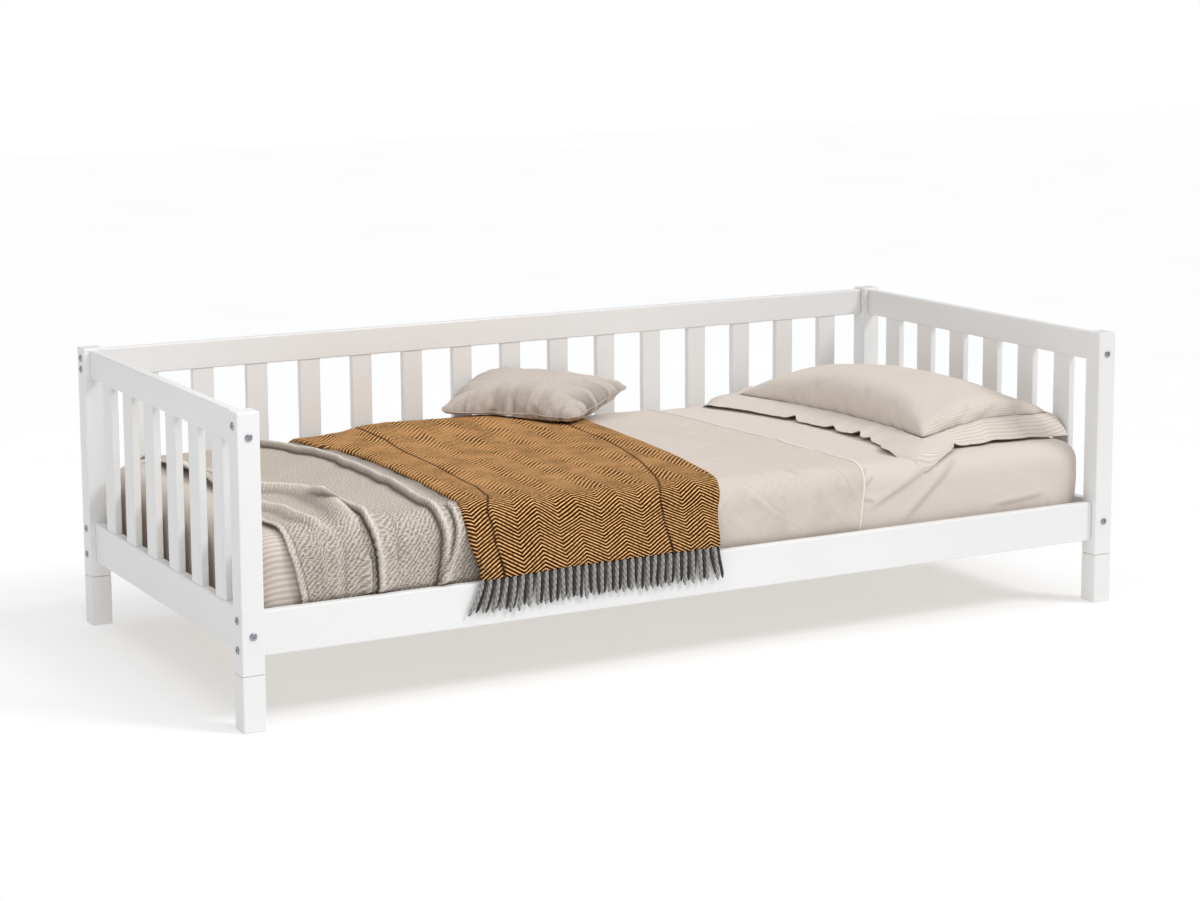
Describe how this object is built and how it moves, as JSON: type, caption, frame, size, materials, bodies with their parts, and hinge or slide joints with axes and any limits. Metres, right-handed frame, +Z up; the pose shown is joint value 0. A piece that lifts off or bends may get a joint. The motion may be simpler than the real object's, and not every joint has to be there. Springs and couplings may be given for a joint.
{
  "type": "toddler bed",
  "caption": "Low wooden day bed for a child, with spindle panels on three sides, an open front rail, slats, a mattress and loose bedding.",
  "frame": {"origin": "middle of the footprint, on the floor under the leg blocks", "axes": "+X along the bed to the head end with the pillow, +Y across the bed to the panel at the back, +Z up"},
  "size_m": [2.0848, 0.968, 0.615],
  "materials": {
    "white_paint": "satin",
    "bare_pine": "matte",
    "zinc_steel": "satin",
    "mattress_ticking": "matte",
    "striped_cotton": "matte",
    "plain_linen": "matte",
    "taupe_knit": "matte",
    "ochre_wool": "matte",
    "cream_cotton": "matte"
  },
  "bodies": {
    "frame": {"post_foot_front": "white_paint", "post_foot_back": "white_paint", "post_head_front": "white_paint", "post_head_back": "white_paint", "leg_block_foot_front": "white_paint", "leg_block_foot_back": "white_paint", "leg_block_head_front": "white_paint", "leg_block_head_back": "white_paint", "front_low_rail": "white_paint", "back_low_rail": "white_paint", "back_top_rail": "white_paint", "foot_low_rail": "white_paint", "foot_top_rail": "white_paint", "head_low_rail": "white_paint", "head_top_rail": "white_paint", "back_spindle_01": "white_paint", "back_spindle_02": "white_paint", "back_spindle_03": "white_paint", "back_spindle_04": "white_paint", "back_spindle_05": "white_paint", "back_spindle_06": "white_paint", "back_spindle_07": "white_paint", "back_spindle_08": "white_paint", "back_spindle_09": "white_paint", "back_spindle_10": "white_paint", "back_spindle_11": "white_paint", "back_spindle_12": "white_paint", "back_spindle_13": "white_paint", "back_spindle_14": "white_paint", "back_spindle_15": "white_paint", "foot_spindle_1": "white_paint", "foot_spindle_2": "white_paint", "foot_spindle_3": "white_paint", "foot_spindle_4": "white_paint", "foot_spindle_5": "white_paint", "foot_spindle_6": "white_paint", "head_spindle_1": "white_paint", "head_spindle_2": "white_paint", "head_spindle_3": "white_paint", "head_spindle_4": "white_paint", "head_spindle_5": "white_paint", "head_spindle_6": "white_paint", "front_slat_ledger": "bare_pine", "back_slat_ledger": "bare_pine", "slat_roll": "bare_pine", "rail_bolt_foot_front_lower": "zinc_steel", "rail_bolt_foot_front_upper": "zinc_steel", "rail_bolt_foot_back_lower": "zinc_steel", "rail_bolt_foot_back_upper": "zinc_steel", "rail_bolt_head_front_lower": "zinc_steel", "rail_bolt_head_front_upper": "zinc_steel", "rail_bolt_head_back_lower": "zinc_steel", "rail_bolt_head_back_upper": "zinc_steel"},
    "mattress": {"mattress": "mattress_ticking", "fitted_sheet": "striped_cotton", "top_sheet": "plain_linen", "folded_blanket": "taupe_knit", "fringed_throw": "ochre_wool"},
    "pillow": {"pillow": "striped_cotton"},
    "cushion": {"small_cushion": "cream_cotton"}
  },
  "joints": [
    {"name": "mattress_lift", "type": "slide", "parent": "frame", "child": "mattress", "axis": [0, 0, 1], "range_m": [0, 0.46]},
    {"name": "pillow_lift", "type": "slide", "parent": "mattress", "child": "pillow", "axis": [0, 0, 1], "range_m": [0, 0.3]},
    {"name": "cushion_lift", "type": "slide", "parent": "mattress", "child": "cushion", "axis": [0, 0, 1], "range_m": [0, 0.3]}
  ]
}
